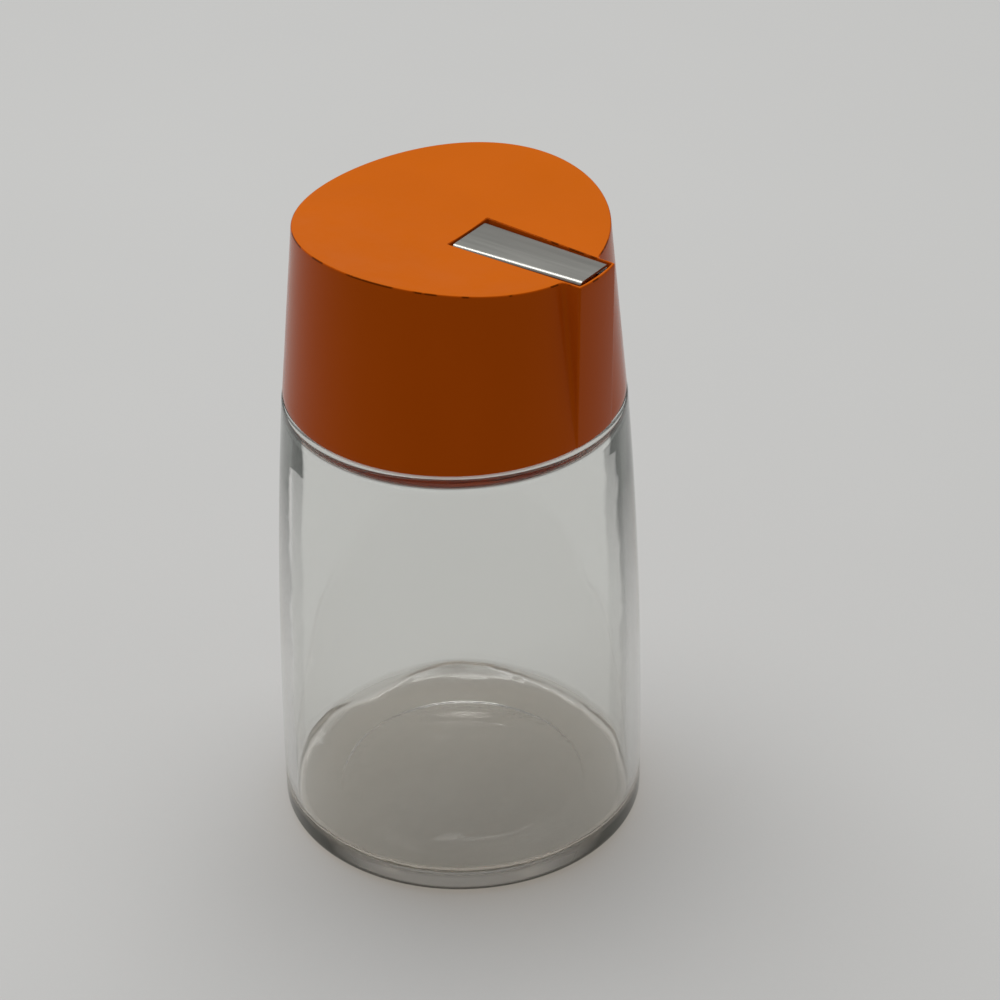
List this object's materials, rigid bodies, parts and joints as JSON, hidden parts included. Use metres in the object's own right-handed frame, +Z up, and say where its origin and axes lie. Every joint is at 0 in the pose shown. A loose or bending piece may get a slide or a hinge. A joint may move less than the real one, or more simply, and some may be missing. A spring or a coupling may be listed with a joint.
{
  "type": "sugar dispenser",
  "caption": "Round glass sugar dispenser with an orange screw lid, a trough-shaped top, a square spout and a hinged steel pouring flap.",
  "frame": {"origin": "centre of the plane that the jar stands on", "axes": "+Z up along the jar's axis, +X towards the spout, +Y across the flap's hinge pin"},
  "size_m": [0.0816, 0.0816, 0.1495],
  "materials": {
    "clear_glass": "clear pressed glass, smooth",
    "orange_plastic": "glossy moulded plastic, satin on top",
    "flap_steel": "satin stainless sheet",
    "pin_steel": "drawn wire"
  },
  "bodies": {
    "jar": {"glass_jar": "clear_glass"},
    "lid": {"lid": "orange_plastic", "hinge_pin": "pin_steel"},
    "flap": {"flap": "flap_steel"}
  },
  "joints": [
    {"name": "lid_lift", "type": "slide", "parent": "jar", "child": "lid", "axis": [0, 0, 1], "range_m": [0, 0.05]},
    {"name": "flap_hinge", "type": "hinge", "parent": "lid", "child": "flap", "pos_m": [0.01005, 0, 0.144], "axis": [0, -1, 0], "range_deg": [0, 70]}
  ]
}
